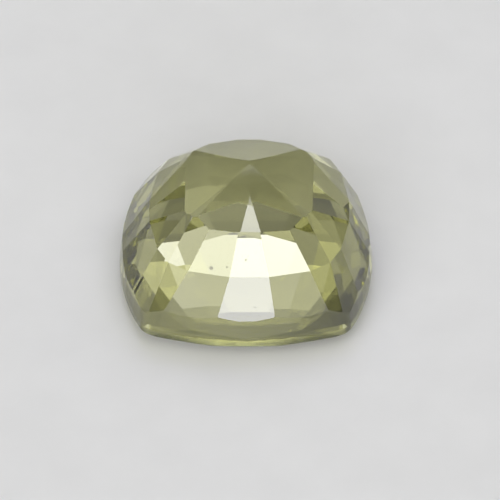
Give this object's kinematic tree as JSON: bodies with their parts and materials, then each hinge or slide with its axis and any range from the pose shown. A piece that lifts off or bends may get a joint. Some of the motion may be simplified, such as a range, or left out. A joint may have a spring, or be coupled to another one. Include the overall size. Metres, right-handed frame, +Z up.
{
  "type": "cushion cut sapphire",
  "caption": "Loose faceted gemstone with a cushion outline, a stepped pavilion under a low point and a brilliant crown; rests flat on its table",
  "frame": {"origin": "middle of the table facet, on its surface", "axes": "+Z runs up from the table to the point, X is the width, Y is the depth with the front end at -Y"},
  "size_m": [0.0064, 0.0058, 0.0039],
  "materials": {
    "sapphire": "polished"
  },
  "bodies": {
    "root": {"sapphire": "sapphire"}
  },
  "joints": []
}
